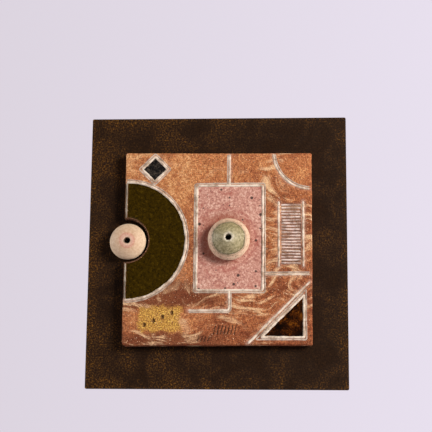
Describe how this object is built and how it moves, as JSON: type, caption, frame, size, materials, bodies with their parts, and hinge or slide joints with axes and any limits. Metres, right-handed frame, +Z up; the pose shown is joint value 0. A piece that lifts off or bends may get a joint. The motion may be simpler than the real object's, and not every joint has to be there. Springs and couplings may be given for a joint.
{
  "type": "ceramic relief wall tile on a steel panel",
  "caption": "Square stoneware relief tile with glazed fields and two bored ceramic cones, fixed to a dark rust-patinated steel panel that hangs flat on a wall.",
  "frame": {"origin": "centre of the steel panel's back face, where it lies against the wall", "axes": "+Y out of the back face into the wall, +Z up, +X to the viewer's right; the decorated front faces -Y"},
  "size_m": [0.26, 0.0336, 0.276],
  "materials": {
    "patinated_steel": "dark brown waxed patina on steel sheet, satin, with rust bloom along the edges",
    "grogged_stoneware": "unglazed red-brown clay with buff streaks and coarse grog, matt",
    "off_white_slip": "raised off-white slip lines, matt and slightly wiped",
    "olive_glaze": "thick dark olive glaze, glossy",
    "pink_glaze": "thin dusty pink glaze wash with iron specks, satin",
    "amber_glaze": "near-black brown glaze with amber lights, glossy",
    "black_glaze": "bluish black glaze, glossy",
    "cream_slip": "cream slip with faint turning rings and a pink ring at the bore, matt",
    "grey_green_glaze": "mottled grey-green glaze over cream slip, satin"
  },
  "bodies": {
    "root": {"back_panel": "patinated_steel", "art_tile": "grogged_stoneware", "edge_cone": "cream_slip", "centre_cone": "grey_green_glaze"}
  },
  "joints": []
}
